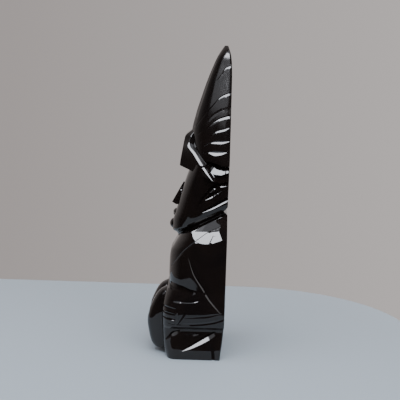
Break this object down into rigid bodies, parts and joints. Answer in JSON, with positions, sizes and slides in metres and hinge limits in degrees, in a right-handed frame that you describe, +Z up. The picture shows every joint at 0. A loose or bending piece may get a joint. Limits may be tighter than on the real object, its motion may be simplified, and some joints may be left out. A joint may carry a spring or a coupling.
{
  "type": "carved stone totem figurine",
  "caption": "Seated idol under a tall pointed feather headdress, carved from one block of black volcanic glass, with a flat back and a flat underside to stand on.",
  "frame": {"origin": "centre of the bounding box at the underside", "axes": "+Z up, the idol looks along -Y, its flat back faces +Y and X runs across it"},
  "size_m": [0.06, 0.045, 0.18],
  "materials": {
    "obsidian": "black volcanic glass, hand polished to a mirror gloss"
  },
  "bodies": {
    "root": {"obsidian_totem": "obsidian"}
  },
  "joints": []
}
